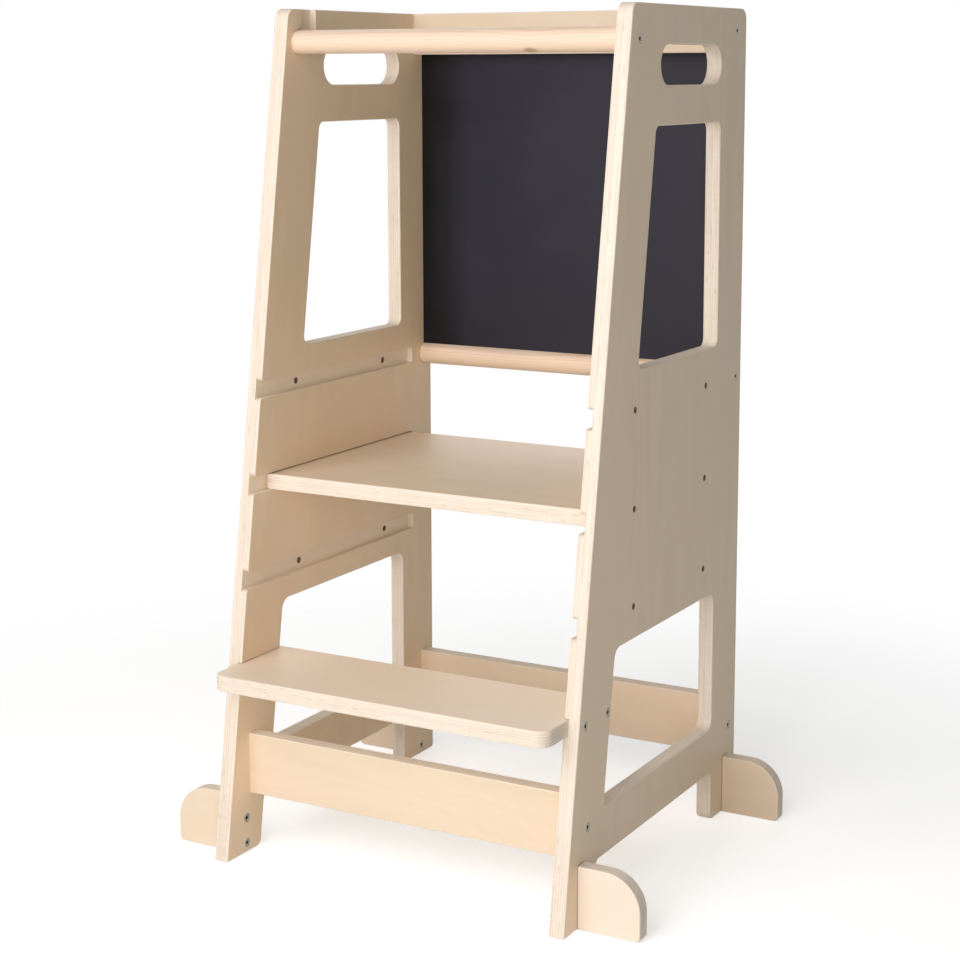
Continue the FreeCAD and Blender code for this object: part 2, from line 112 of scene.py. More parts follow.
FLOOR_DROP = 0.0005  # floor below the feet, so that the two don't share a plane
SENSOR_WIDTH = 36.0  # of the camera, in millimetres


# ---- Sizes and colours that a user may change ----
def colour(name, description, default):
    """A colour property, in linear values."""
    return FloatVectorProperty(
        name=name, description=description, default=default, size=3, min=0.0, max=1.0, subtype="COLOR")


def metres(name, description, default):
    """A length property, in metres."""
    return FloatProperty(
        name=name, description=description, default=default, min=0.0, precision=5,
        subtype="DISTANCE", unit="LENGTH")


def position(name, description, default):
    """A place property, in metres."""
    return FloatVectorProperty(
        name=name, description=description, default=default, size=3, precision=5,
        subtype="XYZ", unit="LENGTH")


def share(name, description, default):
    """A property between none and all."""
    return FloatProperty(
        name=name, description=description, default=default, min=0.0, max=1.0, subtype="FACTOR")


def watts(name, description, default):
    """A lamp's power property, in watts."""
    return FloatProperty(name=name, description=description, default=default, min=0.0, unit="POWER")


def angle(name, description, degrees):
    """An angle property, from a default in degrees."""
    return FloatProperty(
        name=name, description=description, default=math.radians(degrees),
        subtype="ANGLE", unit="ROTATION")


class BoardFinish(PropertyGroup):
    """Birch plywood: its face veneer, its layers at the edges and the routed floors."""

    face_light: colour("Face, light", "Lighter wood of the face veneer", (0.83, 0.668, 0.478))
    face_dark: colour("Face, dark", "Darker wood of the face veneer", (0.72, 0.535, 0.365))
    pale: colour("Pale veneer", "Wood that the paler boards lean towards", (0.92, 0.82, 0.72))
    flush: colour("Flush", "Faint rosy clouds in the veneer", (0.83, 0.640, 0.475))
    layer_light: colour("Layer, light", "Layers with long fibres at an edge", (0.90, 0.800, 0.685))
    layer_dark: colour("Layer, dark", "Layers with cut fibres at an edge", (0.80, 0.665, 0.530))
    glue: colour("Glue line", "Thin line between two layers", (0.50, 0.375, 0.265))
    routed: colour("Routed floor", "Inner layer that a groove lays bare", (0.94, 0.79, 0.605))
    layers: IntProperty(
        name="Layers", description="Number of layers in a board", default=12, min=3, max=25)
    # Dark wood on the walls of the level holes, and painted shade for the line where a foot meets its
    # leg.
    hole_dark_and_seam_shade: colour("Burnt wood", "Wood that the drill or the saw has darkened", (0.20, 0.120, 0.060))
    # The eased edges' paler colour and how far it reaches: partly real wear, partly a painted highlight
    # along the arrises.
    worn_and_highlight: colour("Worn edge", "Paler wood where the eased edges are rubbed", (0.93, 0.835, 0.71))
    wear_and_highlight: share("Wear", "How far the eased edges are rubbed", 0.55)
    figure: share("Figure", "How strongly the face grain shows", 0.50)
    roughness: share("Roughness", "Roughness of the sanded and oiled face", 0.50)
    edge_roughness: share("Edge roughness", "Roughness of the open edges", 0.68)


class DowelFinish(PropertyGroup):
    """Softwood dowels: growth rings that run out along the length, and a knot."""

    early_wood: colour("Early wood", "Pale wood between the rings", (0.87, 0.685, 0.525))
    late_wood: colour("Late wood", "Darker wood of the rings", (0.76, 0.530, 0.365))
    knot: colour("Knot", "Heart of a knot", (0.50, 0.355, 0.19))
    knot_size: metres("Knot size", "From the middle of the knot to its rim", 0.0060)
    ring_width: metres("Ring width", "Width of one growth ring", 0.0021)
    roughness: share("Roughness", "Roughness of the sanded wood", 0.48)
    knot_place: position("Knot place", "Middle of the knot on the front rail", (0.092, -0.0581, 0.8544))


class ChalkboardFinish(PropertyGroup):
    """Matt paint on the thin board, with a trace of wiped chalk, a painted sheen that grows to the
    right and a painted reflection in a darker strip at the left end.
    """

    paint: colour("Paint", "Blue-black chalkboard paint", (0.0150, 0.0140, 0.0235))
    # Chalk dust colour, used for the real wiped chalk and for the painted sheen towards the right.
    dust_and_sheen: colour("Chalk dust", "Wiped chalk on the paint", (0.034, 0.033, 0.042))
    wiped: share("Wiped chalk", "How much of the wiped chalk is left", 0.25)
    # Painted reflection: darker paint in a strip at the left end, and where that strip ends, stand in
    # for the mirrored shaded post beside it.
    bare: colour("Bare paint", "Paint that no chalk dust has reached", (0.0035, 0.0035, 0.0048))
    painted_reflection_from: metres("Bare from", "From the board's middle to the bare strip at its left end", 0.145)
    # Painted sheen: how much more chalk colour lies towards the right, standing in for the brighter
    # reflection there.
    painted_sheen: share("Gathered chalk", "How much more chalk lies towards the right", 0.40)
    roughness: share("Roughness", "Roughness of the paint", 0.45)
    gloss: share("Gloss", "How strongly the matt paint mirrors its surroundings", 0.22)


class ScrewSizes(PropertyGroup):
    """Connecting screws with a countersunk head and a hexagon socket."""

    head_diameter: metres("Head diameter", "Across the countersunk head", 0.0104)
    rim: metres("Rim", "Straight rim above the head's cone", 0.0003)
    shank_diameter: metres("Shank diameter", "Plain shank through the side panel", 0.0070)
    shank_end: metres("Shank end", "From the top of the head to the first thread", 0.0166)
    core_diameter: metres("Core diameter", "Core between the threads", 0.0050)
    thread_diameter: metres("Thread diameter", "Across the threads", 0.0066)
    pitch: metres("Pitch", "From one thread to the next", 0.0030)
    length: metres("Length", "Whole length of the screw", 0.0500)
    tip: metres("Tip", "Length of the tapered tip", 0.0030)
    socket_width: metres("Socket width", "Across the flats of the hexagon", 0.0040)
    socket_depth: metres("Socket depth", "Depth of the hexagon", 0.0024)
    steel: colour("Steel", "Zinc-plated steel", (0.30, 0.285, 0.255))
    # Painted shade: the near-black colour at the socket's bottom stands in for the shade in the deep
    # hexagon.
    socket: colour("Socket", "Unlit plating at the bottom of the socket", (0.035, 0.032, 0.029))
    roughness: share("Roughness", "Roughness of the plating", 0.36)


class PinSizes(PropertyGroup):
    """Fluted wooden pins that keep the boards from turning on their screws."""

    flutes: IntProperty(
        name="Flutes", description="Number of flutes round a pin", default=14, min=4, max=40)
    flute_depth: metres("Flute depth", "Depth of a flute", 0.00035)
    end_taper: metres("End taper", "Chamfer at each end of a pin", 0.0010)
    wood: colour("Wood", "Pale hardwood of the pins", (0.66, 0.47, 0.29))
    wood_dark: colour("Wood, dark", "Darker fibres of the pins", (0.52, 0.34, 0.19))
    roughness: share("Roughness", "Roughness of the unfinished wood", 0.75)


class StageSettings(PropertyGroup):
    """Floor, soft light all round, three lamps and camera."""

    floor: colour("Floor", "Pale floor", (0.86, 0.86, 0.86))
    floor_lift: share("Floor lift", "Paleness added to the floor where the camera sees it", 0.50)
    floor_radius: metres("Floor radius", "Size of the round floor", 3.0)
    floor_clear: metres("Floor clear", "Where the floor begins to fade into the background", 0.40)
    floor_faded: metres("Floor faded", "Where the floor has faded into the background", 1.25)
    fill: colour("Fill colour", "Colour of the soft light from all round", (0.955, 1.0, 0.965))
    fill_level: FloatProperty(
        name="Fill level", description="Strength of the soft light", default=0.185, min=0.0)
    key: colour("Key colour", "Colour of the large lamp at the front left", (1.0, 0.955, 0.955))
    key_power: watts("Key power", "Power of the large lamp", 32.0)
    key_size: metres("Key size", "Side of the large lamp", 1.8)
    key_place: position("Key place", "Place of the large lamp", (-0.30, -1.85, 1.62))
    low: colour("Low lamp colour", "Colour of the lamp low in front", (1.0, 1.0, 1.0))
    low_power: watts("Low lamp power", "Power of the lamp low in front", 13.5)
    low_size: metres("Low lamp size", "Side of the lamp low in front", 1.3)
    low_place: position("Low lamp place", "Place of the lamp low in front", (0.55, -1.75, 0.62))
    rear: colour("Rear lamp colour", "Colour of the weak lamp behind", (1.0, 1.0, 1.0))
    rear_power: watts("Rear lamp power", "Power of the weak lamp behind", 9.0)
    rear_size: metres("Rear lamp size", "Side of the weak lamp behind", 1.6)
    rear_place: position("Rear lamp place", "Place of the weak lamp behind", (-1.00, 2.00, 1.50))
    aim: position("Aim", "Point that the lamps are turned to", (0.0, 0.0, 0.45))
    camera_place: position("Camera place", "Place of the camera", (1.04939, -1.86890, 0.83614))
    camera_turn: angle("Camera turn", "Turn to the left of straight ahead", 29.2945)
    camera_tilt: angle("Camera tilt", "Tilt below the horizon", 8.8438)
    camera_roll: angle("Camera roll", "Roll about the line of sight", -0.1406)
    camera_lens: FloatProperty(
        name="Lens", description="Focal length in millimetres", default=75.9065, min=1.0, unit="CAMERA")
    camera_rise: FloatProperty(
        name="Lens shift", description="Upward shift, as a share of the picture", default=-0.1)


# ---- Shader trees ----
class Tree:
    """Adds nodes to one shader tree and joins them up."""

    def __init__(self, tree):
        self.tree = tree

    def add(self, kind, inputs=None, **settings):
        """A node with its settings, and its inputs fed with values or with other nodes' outputs."""
        node = self.tree.nodes.new(kind)
        for name, value in settings.items():
            setattr(node, name, value)
        for name, value in (inputs or {}).items():
            self.feed(node.inputs[name], value)
        return node

    def feed(self, socket, value):
        """Joins a node's output to the socket, or sets its value. Colours are opaque."""
        if isinstance(value, NodeSocket):
            self.tree.links.new(value, socket)
        elif socket.type == "RGBA":
            socket.default_value = (*value, 1.0)
        else:
            socket.default_value = value

    def math(self, operation, *values):
        """One step of arithmetic on numbers."""
        node = self.add("ShaderNodeMath", operation=operation)
        for socket, value in zip(node.inputs, values):
            self.feed(socket, value)
        return node.outputs[0]

    def vector_math(self, operation, *values):
        """One step of arithmetic on vectors."""
        node = self.add("ShaderNodeVectorMath", operation=operation)
        for socket, value in zip(node.inputs, values):
            self.feed(socket, value)
        one_number = operation in ("DOT_PRODUCT", "LENGTH", "DISTANCE")
        return node.outputs["Value" if one_number else "Vector"]

    def times(self, first, second):
        """Two numbers, multiplied."""
        return self.math("MULTIPLY", first, second)

    def place(self):
        """Where a point lies, in metres: the pieces' own coordinates are the frame's."""
        return self.add("ShaderNodeTexCoord").outputs["Object"]

    def point(self, x, y, z):
        """A vector put together from three numbers."""
        return self.add("ShaderNodeCombineXYZ", {"X": x, "Y": y, "Z": z}).outputs["Vector"]

    def parts(self, vector):
        """The X, Y and Z of a vector."""
        return self.add("ShaderNodeSeparateXYZ", {"Vector": vector}).outputs

    def noise(self, vector, scale=1.0, detail=2.0, roughness=0.5, distortion=0.0):
        """Smooth noise between 0 and 1, with scale waves to the metre."""
        inputs = {"Vector": vector, "Scale": scale, "Detail": detail, "Roughness": roughness,
                  "Distortion": distortion}
        return self.add("ShaderNodeTexNoise", inputs).outputs["Fac"]

    def ramp(self, value, start, end, low=0.0, high=1.0, smooth=True):
        """The value, moved from the range start to end into the range low to high."""
        inputs = {"Value": value, "From Min": start, "From Max": end, "To Min": low, "To Max": high}
        kind = "SMOOTHSTEP" if smooth else "LINEAR"
        return self.add("ShaderNodeMapRange", inputs, interpolation_type=kind).outputs["Result"]

    def mix(self, factor, first, second):
        """Two colours, mixed."""
        node = self.add("ShaderNodeMix", data_type="RGBA", blend_type="MIX", clamp_factor=True)
        self.feed(node.inputs["Factor"], factor)
        for name, value in (("A", first), ("B", second)):
            socket = next(s for s in node.inputs if s.name == name and s.type == "RGBA")
            self.feed(socket, value)
        return next(s for s in node.outputs if s.type == "RGBA")

    def blend(self, factor, first, second):
        """Two shaders, mixed."""
        node = self.add("ShaderNodeMixShader", {"Fac": factor})
        self.feed(node.inputs[1], first)
        self.feed(node.inputs[2], second)
        return node.outputs["Shader"]

    def seen(self):
        """1 on the way from the camera, also by way of metal or glass, and 0 for other light."""
        ray = self.add("ShaderNodeLightPath").outputs
        indirectly = self.math("MAXIMUM", ray["Is Glossy Ray"], ray["Is Transmission Ray"])
        return self.math("MAXIMUM", ray["Is Camera Ray"], indirectly)

    def group(self, tree, inputs):
        """A shader node group placed in this tree with its own values."""
        return self.add("ShaderNodeGroup", inputs, node_tree=tree).outputs


def new_group(name, inputs, outputs):
    """An empty shader node group. Inputs and outputs map each name to its kind."""
    tree = bpy.data.node_groups.new(name, "ShaderNodeTree")
    kinds = {"value": "NodeSocketFloat", "vector": "NodeSocketVector", "colour": "NodeSocketColor"}
    for socket_name, kind in inputs.items():
        tree.interface.new_socket(socket_name, in_out="INPUT", socket_type=kinds[kind])
    for socket_name, kind in outputs.items():
        tree.interface.new_socket(socket_name, in_out="OUTPUT", socket_type=kinds[kind])
    build = Tree(tree)
    given = build.add("NodeGroupInput").outputs
    result = build.add("NodeGroupOutput").inputs
    return tree, build, given, result


def board_space_group():
    """Where a point lies in its board: along and across the grain and through the thickness, and how
    squarely its surface faces that way."""
    tree, build, given, result = new_group(
        "Board space",
        {"Centre": "vector", "Grain": "vector", "Through": "vector"},
        {"Along": "value", "Across": "value", "Depth": "value", "Facing": "value"})
    place = build.add("ShaderNodeTexCoord").outputs
    local = build.vector_math("SUBTRACT", place["Object"], given["Centre"])
    sideways = build.vector_math("CROSS_PRODUCT", given["Grain"], given["Through"])
    facing = build.vector_math("DOT_PRODUCT", place["Normal"], given["Through"])
    for name, axis in (("Along", given["Grain"]), ("Across", sideways), ("Depth", given["Through"])):
        build.feed(result[name], build.vector_math("DOT_PRODUCT", local, axis))
    build.feed(result["Facing"], build.math("ABSOLUTE", facing))
    return tree


def veneer_group():
    """Face grain of rotary-cut birch: slow wavy figure, soft streaks and fine fibres."""
    tree, build, given, result = new_group(
        "Birch veneer",
        {"Along": "value", "Across": "value", "Seed": "value", "Light": "colour", "Dark": "colour",
         "Flush": "colour", "Figure": "value"},
        {"Color": "colour", "Height": "value"})
    along, across, seed = given["Along"], given["Across"], given["Seed"]

    def stretched(per_metre_along, per_metre_across, offset):
        return build.point(
            build.times(along, per_metre_along), build.times(across, per_metre_across),
            build.math("ADD", seed, offset))

    slow = build.noise(stretched(1.5, 7.0, 0.0), detail=2.0, roughness=0.45, distortion=0.4)
    figure = build.ramp(build.math("SINE", build.times(slow, 62.0)), -1.0, 1.0)
    streaks = build.noise(stretched(5.0, 55.0, 7.0), detail=2.0, roughness=0.6)
    fibres = build.noise(stretched(45.0, 1100.0, 13.0), detail=1.0, roughness=0.6)
    patches = build.noise(stretched(5.0, 9.0, 23.0), detail=1.0)
    total = build.times(figure, 0.20)
    for pattern, weight in ((streaks, 0.55), (fibres, 0.45), (patches, 0.50)):
        total = build.math("MULTIPLY_ADD", pattern, weight, total)
    tone = build.ramp(total, 0.45, 1.25, smooth=False)
    grained = build.mix(build.times(tone, given["Figure"]), given["Light"], given["Dark"])
    clouds = build.ramp(build.noise(stretched(4.0, 13.0, 31.0), detail=2.0), 0.42, 0.68, 0.0, 0.55)
    build.feed(result["Color"], build.mix(clouds, grained, given["Flush"]))
    build.feed(result["Height"], build.math("MULTIPLY_ADD", fibres, 0.7, build.times(streaks, 0.3)))
    return tree


def layers_group():
    """Layers of plywood at a cut edge, with broken glue lines and a few small gaps between them."""
    tree, build, given, result = new_group(
        "Plywood layers",
        {"Along": "value", "Across": "value", "Depth": "value", "Thickness": "value", "Layers": "value",
         "Seed": "value", "Light": "colour", "Dark": "colour", "Glue": "colour"},
        {"Color": "colour", "Height": "value"})
    along, across = given["Along"], given["Across"]
    run = build.point(along, across, given["Seed"])
    share_through = build.math("ADD", build.math("DIVIDE", given["Depth"], given["Thickness"]), 0.5)
    waviness = build.ramp(build.noise(run, scale=9.0), 0.2, 0.8, -0.16, 0.16, smooth=False)
    level = build.math("MULTIPLY_ADD", share_through, given["Layers"], waviness)
    layer = build.math("FLOOR", level)
    inside = build.math("FRACT", level)
    crossed = build.math("MODULO", build.math("ABSOLUTE", layer), 2.0)
    seam = build.math("MINIMUM", inside, build.math("SUBTRACT", 1.0, inside))
    own = build.math("ADD", layer, given["Seed"])
    chance = build.add("ShaderNodeTexWhiteNoise", {"W": own}, noise_dimensions="1D").outputs["Value"]
    fibres = build.noise(run, scale=420.0, detail=2.0)
    dark_share = build.math("MULTIPLY_ADD", chance, 0.45, build.times(crossed, 0.40))
    dark_share = build.math("ADD", dark_share, build.ramp(fibres, 0.3, 0.7, -0.08, 0.14, smooth=False))
    wood = build.mix(dark_share, given["Light"], given["Dark"])
    own_run = build.point(
        build.times(along, 16.0), build.times(across, 16.0),
        build.math("MULTIPLY_ADD", layer, 5.3, given["Seed"]))
    patchy = build.ramp(build.noise(own_run, detail=1.0), 0.38, 0.66, 0.12, 1.0)
    glue = build.times(build.ramp(seam, 0.02, 0.17, 1.0, 0.0), patchy)
    gap_run = build.point(build.times(along, 60.0), build.times(across, 60.0), build.times(layer, 3.7))
    holes = build.noise(gap_run, detail=0.0)
    gap = build.times(build.ramp(holes, 0.72, 0.77), build.ramp(seam, 0.10, 0.22, 1.0, 0.0))
    line = build.math("MAXIMUM", build.times(glue, 0.85), gap)
    build.feed(result["Color"], build.mix(line, wood, given["Glue"]))
    build.feed(result["Height"], build.math("MULTIPLY_ADD", fibres, 0.4, build.times(line, -1.0)))
    return tree


def drilled_group():
    """Rows of drilled holes through a panel: masks for their walls and for their rubbed rims."""
    tree, build, given, result = new_group(
        "Drilled holes",
        {"Rear": "value", "Spacing": "value", "Lowest": "value", "Rise": "value", "Radius": "value"},
        {"Wall": "value", "Rim": "value"})

    def from_nearest(distance, spacing, last):
        """How far a point is from the nearest of the holes 0 to last, spaced evenly."""
        nearest = build.math("ROUND", build.math("DIVIDE", distance, spacing))
        nearest = build.math("MINIMUM", build.math("MAXIMUM", nearest, 0.0), last)
        return build.math("SUBTRACT", distance, build.times(nearest, spacing))

    place = build.parts(build.place())
    aside = from_nearest(build.math("SUBTRACT", given["Rear"], place["Y"]), given["Spacing"], 1.0)
    above = from_nearest(build.math("SUBTRACT", place["Z"], given["Lowest"]), given["Rise"], 2.0)
    from_middle = build.vector_math("LENGTH", build.point(aside, above, 0.0))
    away = build.math("SUBTRACT", from_middle, given["Radius"])
    build.feed(result["Wall"], build.ramp(away, 0.0001, 0.0004, 1.0, 0.0))
    build.feed(result["Rim"], build.ramp(away, 0.0, 0.0012, 1.0, 0.0))
    return tree


def edge_wear_and_highlight_group():
    """Eased edges of a board, rubbed down unevenly and given a painted highlight: a mask between the
    face and the cut edge.
    """
    tree, build, given, result = new_group(
        "Edge wear",
        {"Along": "value", "Across": "value", "Depth": "value", "Facing": "value", "Amount": "value"},
        {"Mask": "value"})
    facing = given["Facing"]
    eased = build.times(build.ramp(facing, 0.12, 0.45), build.ramp(facing, 0.90, 0.99, 1.0, 0.0))
    run = build.point(given["Along"], given["Across"], given["Depth"])
    rubbed = build.ramp(build.noise(run, scale=24.0, detail=3.0, roughness=0.6), 0.32, 0.62, 0.35, 1.0)
    build.feed(result["Mask"], build.times(build.times(eased, rubbed), given["Amount"]))
    return tree


def rings_group():
    """Growth rings of a softwood dowel cut off the centre of its tree, bent round a knot."""
    tree, build, given, result = new_group(
        "Softwood rings",
        {"Heart": "vector", "Ring width": "value", "Seed": "value", "Knot place": "vector",
         "Knot size": "value", "Early": "colour", "Late": "colour", "Knot": "colour"},
        {"Color": "colour", "Height": "value"})
    knot_size = given["Knot size"]
    place = build.place()
    away = build.vector_math("SUBTRACT", place, given["Knot place"])
    from_knot = build.vector_math("LENGTH", build.vector_math("MULTIPLY", away, (0.55, 1.0, 1.0)))
    bend = build.math("EXPONENT", build.math("DIVIDE", from_knot, build.times(knot_size, -1.6)))
    parts = build.parts(build.vector_math("SUBTRACT", place, given["Heart"]))
    x, y, z = parts["X"], parts["Y"], parts["Z"]
    across = build.point(0.0, y, z)
    stretched = build.point(build.times(x, 3.2), build.times(y, 14.0), given["Seed"])
    wander = build.noise(stretched, detail=2.0)
    radius = build.math("MULTIPLY_ADD", wander, 0.011, build.vector_math("LENGTH", across))
    radius = build.math("MULTIPLY_ADD", bend, build.times(knot_size, 1.3), radius)
    ring = build.math("FRACT", build.math("DIVIDE", radius, given["Ring width"]))
    late = build.times(build.ramp(ring, 0.35, 0.88), build.ramp(ring, 0.90, 1.0, 1.0, 0.0))
    fibres = build.noise(
        build.point(build.times(x, 55.0), build.times(y, 900.0), build.times(z, 900.0)), detail=1.0)
    share_late = build.math("MULTIPLY_ADD", fibres, 0.30, build.times(late, 0.50))
    wood = build.mix(share_late, given["Early"], given["Late"])
    heart = build.ramp(from_knot, build.times(knot_size, 0.35), knot_size, 1.0, 0.0)
    build.feed(result["Color"], build.mix(heart, wood, given["Knot"]))
    build.feed(result["Height"], build.math("MULTIPLY_ADD", late, 0.5, build.times(fibres, 0.5)))
    return tree


def empty_nodes(owner):
    """The emptied shader tree of a material or a world, ready to be built."""
    owner.use_nodes = True
    owner.node_tree.nodes.clear()
    return Tree(owner.node_tree)


def new_material(name):
    """A material with its Principled shader joined to the output."""
    material = bpy.data.materials.new(name)
    build = empty_nodes(material)
    shader = build.add("ShaderNodeBsdfPrincipled")
    build.add("ShaderNodeOutputMaterial", {"Surface": shader.outputs["BSDF"]})
    return material, build, shader


def add_bump(build, shader, height, depth):
    """Feeds the shader's normal from a height that goes as deep as depth, in metres."""
    bump = build.add("ShaderNodeBump", {"Height": height, "Strength": 1.0, "Distance": depth})
    build.feed(shader.inputs["Normal"], bump.outputs["Normal"])


def group_named(name, make):
    """The shared group of that name, built the first time it is asked for."""
    return bpy.data.node_groups.get(name) or make()


def hole_rows():
    """The level holes of the panels, from the record's bolt patterns, as the drilled group's values."""
    rows = {m["name"]: m for m in frame["record"]["mounts"] if m["kind"] == "bolt_pattern"}
    lowest = rows["left_lowest_level_holes"]
    highest = rows["left_highest_level_holes"]
    spacing = lowest["dims"]["spacing_x_mm"] / 1000
    return {
        "Rear": lowest["pos_m"][1] + spacing / 2, "Spacing": spacing, "Lowest": lowest["pos_m"][2],
        "Rise": (highest["pos_m"][2] - lowest["pos_m"][2]) / 2,
        "Radius": lowest["dims"]["hole_r_mm"] / 1000}


def darker(tint, share_left):
    """A colour with only a share of its light left."""
    return [part * share_left for part in tint]


def plywood_material(node, seed, finish):
    """Plywood of one board: veneer on its faces, layers at its edges, a bare inner layer in its
    grooves, a paler colour on its eased edges that is partly wear and partly painted highlight, darker
    wood on the walls of its level holes, and painted shade in the line where a foot meets its leg."""
    through, grain, tone, pallor = BOARDS[node]
    low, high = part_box(node)
    thickness = (high - low) @ AXES[through]
    material, build, shader = new_material(f"Birch plywood, {node.replace('_', ' ')}")
    space = build.group(group_named("Board space", board_space_group), {
        "Centre": (low + high) / 2, "Grain": AXES[grain], "Through": AXES[through]})
    run = {"Along": space["Along"], "Across": space["Across"]}
    depth = space["Depth"]
    own_seed = seed * SEED_STEP

    def toned(wood):
        """A wood colour of this board, brought towards the pale one and made lighter or darker."""
        return [tone * (own + (paler - own) * pallor) for own, paler in zip(wood, finish.pale)]

    veneer = build.group(group_named("Birch veneer", veneer_group), {
        **run, "Seed": own_seed, "Figure": finish.figure, "Light": toned(finish.face_light),
        "Dark": toned(finish.face_dark), "Flush": toned(finish.flush)})
    layers = build.group(group_named("Plywood layers", layers_group), {
        **run, "Depth": depth, "Thickness": thickness, "Layers": float(finish.layers), "Seed": own_seed,
        "Light": finish.layer_light, "Dark": finish.layer_dark, "Glue": finish.glue})
    edge = build.ramp(space["Facing"], 0.55, 0.85, 1.0, 0.0)
    veneered, bare = (thickness / 2 - below for below in BARE_BELOW)
    inner = build.ramp(build.math("ABSOLUTE", depth), bare, veneered, 0.75, 0.0)
    face = build.mix(inner, veneer["Color"], finish.routed)
    wood = build.mix(edge, face, layers["Color"])
    # Paler colour on the eased edges: partly wear, partly a painted highlight along them.
    worn_and_highlight = build.group(group_named("Edge wear", edge_wear_and_highlight_group), {
        **run, "Depth": depth, "Facing": space["Facing"], "Amount": finish.wear_and_highlight})["Mask"]
    wood = build.mix(worn_and_highlight, wood, finish.worn_and_highlight)
    height = build.mix(edge, veneer["Height"], layers["Height"])
    if node.endswith("side_panel"):
        drilled = build.group(group_named("Drilled holes", drilled_group), hole_rows())
        # Darker wood on the walls of the level holes.
        wood = build.mix(build.times(drilled["Wall"], 0.9), wood, finish.hole_dark_and_seam_shade)
        height = build.math("MULTIPLY_ADD", drilled["Rim"], -6.0, height)
    # Painted shade: a dark line on each foot beside its leg stands in for the shade in the joint.
    if node.endswith("foot"):
        sideways = build.math("ABSOLUTE", build.parts(build.place())["X"])
        dark, faded = (min(abs(low[0]), abs(high[0])) + away for away in SEAM_SHADE_FADES)
        wood = build.mix(build.ramp(sideways, dark, faded, 0.75, 0.0), wood, finish.hole_dark_and_seam_shade)
    build.feed(shader.inputs["Base Color"], wood)
    rough = build.ramp(edge, 0.0, 1.0, finish.roughness, finish.edge_roughness, smooth=False)
    build.feed(shader.inputs["Roughness"], build.math("MULTIPLY_ADD", worn_and_highlight, -0.16, rough))
    add_bump(build, shader, height, BOARD_RELIEF)
    return material


def dowel_material(node, seed, finish):
    """Softwood of one dowel."""
    low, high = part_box(node)
    material, build, shader = new_material(f"Softwood, {node.replace('_', ' ')}")
    wood = build.group(group_named("Softwood rings", rings_group), {
        "Heart": (low + high) / 2 + TREE_CENTRE, "Ring width": finish.ring_width, "Seed": seed,
        "Knot place": finish.knot_place, "Knot size": finish.knot_size, "Early": finish.early_wood,
        "Late": finish.late_wood, "Knot": finish.knot})
    build.feed(shader.inputs["Base Color"], wood["Color"])
    shader.inputs["Roughness"].default_value = finish.roughness
    add_bump(build, shader, wood["Height"], DOWEL_RELIEF)
    return material


def chalkboard_material(finish):
    """Matt paint with soft smears of wiped chalk, a painted sheen of chalk colour that grows to the
    right, and a painted reflection: darker paint in a strip at the left end, for the mirrored shaded
    post.
    """
    material, build, shader = new_material("Chalkboard paint")
    place = build.place()
    stretched = build.vector_math("MULTIPLY", place, (5.0, 1.0, 11.0))
    smears = build.noise(stretched, scale=1.0, detail=4.0, distortion=0.9)
    grit = build.noise(place, scale=900.0, detail=2.0)
    wiped = build.times(build.ramp(smears, 0.35, 0.75), finish.wiped)
    wiped = build.times(wiped, build.ramp(grit, 0.2, 0.7, 0.6, 1.0))
    across = build.parts(place)["X"]
    left = -finish.painted_reflection_from
    # reached is 0 in the strip at the left end that holds the painted reflection, and 1 past it.
    reached = build.ramp(across, left - REFLECTION_STRIP_FADE, left + REFLECTION_STRIP_FADE)
    # Painted sheen: the chalk colour grows towards the right, standing in for the brighter reflection
    # on that side.
    painted_sheen = build.times(build.ramp(across, left, -left, smooth=False), finish.painted_sheen)
    # The chalk colour's share: the real wiped smears plus the painted sheen, none in the painted
    # reflection strip.
    chalk = build.times(build.math("ADD", wiped, painted_sheen), reached)
    # The darker paint in the strip at the left end is the painted reflection.
    paint = build.mix(reached, finish.bare, finish.paint)
    build.feed(shader.inputs["Base Color"], build.mix(chalk, paint, finish.dust_and_sheen))
    rough = build.ramp(smears, 0.2, 0.8, finish.roughness - 0.06, finish.roughness + 0.1)
    build.feed(shader.inputs["Roughness"], rough)
    shader.inputs["Specular IOR Level"].default_value = finish.gloss
    add_bump(build, shader, grit, PAINT_RELIEF)
    return material


def steel_material(sizes):
    """Zinc-plated steel with faint dull clouds."""
    material, build, shader = new_material("Zinc-plated steel")
    cloudy = build.noise(build.place(), scale=600.0, detail=3.0)
    clouds = build.ramp(cloudy, 0.3, 0.7, 0.0, 0.25)
    build.feed(shader.inputs["Base Color"], build.mix(clouds, sizes.steel, darker(sizes.steel, 0.7)))
    shader.inputs["Metallic"].default_value = 1.0
    rough = build.ramp(cloudy, 0.2, 0.8, sizes.roughness - 0.06, sizes.roughness + 0.10)
    build.feed(shader.inputs["Roughness"], rough)
    return material


def socket_shade_material(sizes):
    """Plating at the bottom of a socket, painted near black as painted shade for the deep hexagon."""
    material, build, shader = new_material("Socket bottom")
    dull = build.noise(build.place(), scale=900.0, detail=2.0)
    build.feed(shader.inputs["Base Color"], build.mix(dull, sizes.socket, darker(sizes.socket, 0.5)))
    shader.inputs["Metallic"].default_value = 0.6
    shader.inputs["Roughness"].default_value = 0.6
    return material


def pin_material(sizes):
    """Unfinished hardwood with fine fibres along the pin."""
    material, build, shader = new_material("Pin hardwood")
    stretched = build.vector_math("MULTIPLY", build.place(), (60.0, 1500.0, 1500.0))
    fibres = build.noise(stretched, scale=1.0, detail=2.0)
    dark = build.ramp(fibres, 0.3, 0.7)
    build.feed(shader.inputs["Base Color"], build.mix(dark, sizes.wood, sizes.wood_dark))
    shader.inputs["Roughness"].default_value = sizes.roughness
    add_bump(build, shader, fibres, PIN_RELIEF)
    return material


# ---- Meshes ----
def dress(node, material):
    """Gives a node of the CAD frame its material."""
    for slot in frame["nodes"][node].material_slots:
        slot.material = material


